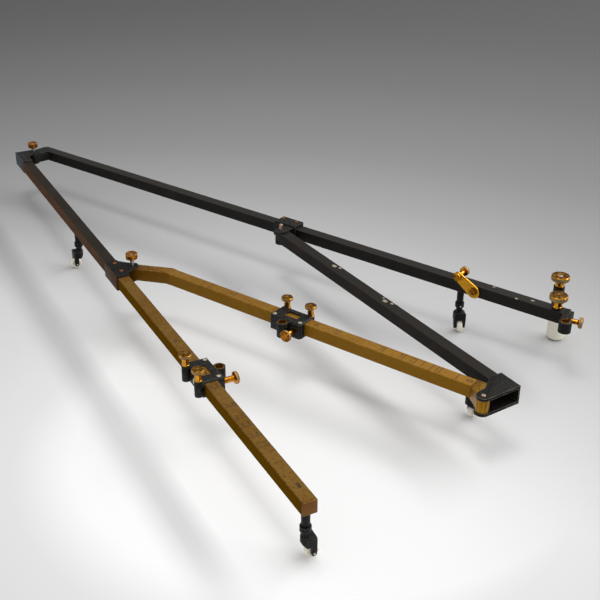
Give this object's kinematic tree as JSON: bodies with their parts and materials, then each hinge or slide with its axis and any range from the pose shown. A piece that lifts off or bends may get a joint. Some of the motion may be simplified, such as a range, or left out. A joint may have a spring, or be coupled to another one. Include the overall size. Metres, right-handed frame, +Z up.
{
  "type": "pantograph",
  "caption": "Copying pantograph: brass and black square bars jointed in a parallelogram on swivel casters, with sliding bored carriages, tracer sleeve and knurled screws.",
  "frame": {"origin": "centre of the footprint, on the floor", "axes": "+X from the apex pivot along the bisector of the two long arms to their open ends, +Y towards the far black arm, +Z up"},
  "size_m": [0.7976, 0.4394, 0.0762],
  "materials": {
    "black_enamel": "worn satin black paint on drawn tube",
    "stippled_casting": "stippled gunmetal black paint on castings",
    "aged_brass": "aged lacquered brass tube, darkened",
    "bright_brass": "turned and knurled brass",
    "copper_screw": "slotted brass screws, toned",
    "bright_steel": "turned bright steel",
    "ivory": "cream wheels and foot"
  },
  "bodies": {
    "near_arm": {"near_arm_black_tube": "black_enamel", "near_arm_brass_tube": "aged_brass", "near_arm_end_plug": "aged_brass", "near_arm_caster_posts": "stippled_casting", "apex_fork": "stippled_casting", "elbow_fork": "stippled_casting", "elbow_fork_screws": "copper_screw", "near_arm_pivot_pins": "bright_steel"},
    "apex_nut": {"apex_capstan_nut": "bright_brass"},
    "elbow_nut": {"elbow_capstan_nut": "bright_brass"},
    "far_arm": {"far_arm_tube": "black_enamel", "far_arm_caster_post": "stippled_casting", "far_arm_crank_eye": "black_enamel", "far_arm_saddle": "stippled_casting", "far_arm_saddle_screws": "copper_screw", "saddle_pivot_pin": "bright_steel", "tracer_holder": "stippled_casting", "lift_lever_pivot_screw": "bright_brass"},
    "tracer_screw": {"tracer_clamp_screw": "bright_brass"},
    "head_knob": {"front_clamp_knob": "bright_brass"},
    "outrigger": {"outrigger_arm": "stippled_casting"},
    "foot": {"ivory_foot": "ivory", "foot_rod": "bright_steel"},
    "foot_nut": {"foot_knob": "bright_brass"},
    "lever": {"lift_lever": "bright_brass"},
    "lever_screw": {"lift_lever_thumbscrew": "bright_brass"},
    "link": {"link_elbow": "aged_brass", "link_tube": "aged_brass", "link_end_eye": "aged_brass"},
    "tie": {"tie_end_eye": "black_enamel", "tie_tube": "black_enamel", "tie_caster_post": "stippled_casting", "tie_fork": "stippled_casting", "tie_fork_pin": "bright_steel"},
    "carriage_1": {"carriage_1_body": "stippled_casting", "carriage_1_index_plate": "bright_brass", "carriage_1_fasteners": "bright_steel"},
    "carriage_1_clamp": {"carriage_1_clamp_screw": "bright_brass"},
    "carriage_1_rear_screw": {"carriage_1_rear_knob": "bright_brass"},
    "carriage_1_front_screw": {"carriage_1_front_knob": "bright_brass"},
    "carriage_2": {"carriage_2_body": "stippled_casting", "carriage_2_index_plate": "bright_brass", "carriage_2_fasteners": "bright_steel"},
    "carriage_2_clamp": {"carriage_2_clamp_screw": "bright_brass"},
    "carriage_2_rear_screw": {"carriage_2_rear_knob": "bright_brass"},
    "carriage_2_front_screw": {"carriage_2_front_knob": "bright_brass"},
    "swivel_near_rear": {"caster_near_rear_fork": "stippled_casting", "caster_near_rear_axle": "bright_steel"},
    "wheel_near_rear": {"caster_near_rear_wheel": "ivory"},
    "swivel_near_end": {"caster_near_end_fork": "stippled_casting", "caster_near_end_axle": "bright_steel"},
    "wheel_near_end": {"caster_near_end_wheel": "ivory"},
    "swivel_far": {"caster_far_fork": "stippled_casting", "caster_far_axle": "bright_steel"},
    "wheel_far": {"caster_far_wheel": "ivory"},
    "swivel_tie": {"caster_tie_fork": "stippled_casting", "caster_tie_axle": "bright_steel"},
    "wheel_tie": {"caster_tie_wheel": "ivory"}
  },
  "joints": [
    {"name": "apex_fold", "type": "hinge", "parent": "near_arm", "child": "far_arm", "pos_m": [-0.38731, -0.01696, 0.05365], "axis": [0, 0, 1], "range_deg": [-10, 58]},
    {"name": "elbow_fold", "type": "hinge", "parent": "near_arm", "child": "link", "pos_m": [-0.01698, -0.10212, 0.05365], "axis": [0, 0, 1], "range_deg": [-10, 58]},
    {"name": "saddle_fold", "type": "hinge", "parent": "far_arm", "child": "tie", "pos_m": [0.01694, 0.076, 0.05365], "axis": [0, 0, 1], "range_deg": [-58, 10]},
    {"name": "carriage_1_slide", "type": "slide", "parent": "near_arm", "child": "carriage_1", "axis": [0.9746, -0.2241, 0], "range_m": [-0.18, 0.165]},
    {"name": "carriage_2_slide", "type": "slide", "parent": "link", "child": "carriage_2", "axis": [0.9746, 0.2241, 0], "range_m": [-0.125, 0.15]},
    {"name": "carriage_1_clamp_turn", "type": "hinge", "parent": "carriage_1", "child": "carriage_1_clamp", "pos_m": [0.21599, -0.14789, 0.05365], "axis": [0.2241, 0.9746, 0], "continuous": true},
    {"name": "carriage_1_rear_knob_turn", "type": "hinge", "parent": "carriage_1", "child": "carriage_1_rear_screw", "pos_m": [0.18435, -0.17704, 0.06], "axis": [0, 0, 1], "continuous": true},
    {"name": "carriage_1_front_knob_turn", "type": "hinge", "parent": "carriage_1", "child": "carriage_1_front_screw", "pos_m": [0.21213, -0.18343, 0.06], "axis": [0, 0, 1], "continuous": true},
    {"name": "carriage_2_clamp_turn", "type": "hinge", "parent": "carriage_2", "child": "carriage_2_clamp", "pos_m": [0.18958, -0.06242, 0.05365], "axis": [0.2241, -0.9746, 0], "continuous": true},
    {"name": "carriage_2_rear_knob_turn", "type": "hinge", "parent": "carriage_2", "child": "carriage_2_rear_screw", "pos_m": [0.15619, -0.03367, 0.06], "axis": [0, 0, 1], "continuous": true},
    {"name": "carriage_2_front_knob_turn", "type": "hinge", "parent": "carriage_2", "child": "carriage_2_front_screw", "pos_m": [0.18396, -0.02728, 0.06], "axis": [0, 0, 1], "continuous": true},
    {"name": "apex_nut_turn", "type": "hinge", "parent": "near_arm", "child": "apex_nut", "pos_m": [-0.38731, -0.01696, 0.0668], "axis": [0, 0, 1], "continuous": true},
    {"name": "elbow_nut_turn", "type": "hinge", "parent": "near_arm", "child": "elbow_nut", "pos_m": [-0.01698, -0.10212, 0.069], "axis": [0, 0, 1], "continuous": true},
    {"name": "tracer_screw_turn", "type": "hinge", "parent": "far_arm", "child": "tracer_screw", "pos_m": [0.35309, 0.16323, 0.0576], "axis": [0.9208, 0.3899, 0], "continuous": true},
    {"name": "head_knob_turn", "type": "hinge", "parent": "far_arm", "child": "head_knob", "pos_m": [0.33147, 0.16956, 0.06], "axis": [0, 0, 1], "continuous": true},
    {"name": "outrigger_swing", "type": "hinge", "parent": "far_arm", "child": "outrigger", "pos_m": [0.33147, 0.16956, 0.06], "axis": [0, 0, 1], "range_deg": [-20, 25]},
    {"name": "foot_knob_turn", "type": "hinge", "parent": "outrigger", "child": "foot_nut", "pos_m": [0.30541, 0.20783, 0.0617], "axis": [0, 0, 1], "range_deg": [0, 1440]},
    {"name": "foot_lift", "type": "slide", "parent": "outrigger", "child": "foot", "axis": [0, 0, 1], "range_m": [0, 0.004]},
    {"name": "lever_lift", "type": "hinge", "parent": "far_arm", "child": "lever", "pos_m": [0.24645, 0.1435, 0.0533], "axis": [-0.2241, 0.9746, 0], "range_deg": [0, 70]},
    {"name": "lever_screw_turn", "type": "hinge", "parent": "lever", "child": "lever_screw", "pos_m": [0.22803, 0.13926, 0.0656], "axis": [-0.2241, 0.9746, 0], "continuous": true},
    {"name": "swivel_near_rear_turn", "type": "hinge", "parent": "near_arm", "child": "swivel_near_rear", "pos_m": [-0.15889, -0.08652, 0.0322], "axis": [0, 0, 1], "continuous": true},
    {"name": "wheel_near_rear_roll", "type": "hinge", "parent": "swivel_near_rear", "child": "wheel_near_rear", "pos_m": [-0.16021, -0.09145, 0.0062], "axis": [0.9659, -0.2588, 0], "continuous": true},
    {"name": "swivel_near_end_turn", "type": "hinge", "parent": "near_arm", "child": "swivel_near_end", "pos_m": [0.38667, -0.21197, 0.0322], "axis": [0, 0, 1], "continuous": true},
    {"name": "wheel_near_end_roll", "type": "hinge", "parent": "swivel_near_end", "child": "wheel_near_end", "pos_m": [0.38808, -0.20707, 0.0062], "axis": [-0.9613, 0.2756, 0], "continuous": true},
    {"name": "swivel_far_turn", "type": "hinge", "parent": "far_arm", "child": "swivel_far", "pos_m": [0.22768, 0.1457, 0.0322], "axis": [0, 0, 1], "continuous": true},
    {"name": "wheel_far_roll", "type": "hinge", "parent": "swivel_far", "child": "wheel_far", "pos_m": [0.2318, 0.1427, 0.0062], "axis": [0.5878, 0.809, 0], "continuous": true},
    {"name": "swivel_tie_turn", "type": "hinge", "parent": "tie", "child": "swivel_tie", "pos_m": [0.34487, 0.0282, 0.0322], "axis": [0, 0, 1], "continuous": true},
    {"name": "wheel_tie_roll", "type": "hinge", "parent": "swivel_tie", "child": "wheel_tie", "pos_m": [0.34575, 0.03322, 0.0062], "axis": [-0.9848, 0.1736, 0], "continuous": true}
  ],
  "couplings": [
    {"joint": "elbow_fold", "follows": "apex_fold", "ratio": 1},
    {"joint": "saddle_fold", "follows": "apex_fold", "ratio": -1},
    {"joint": "foot_lift", "follows": "foot_knob_turn", "m_per_rad": 0.00015915}
  ]
}
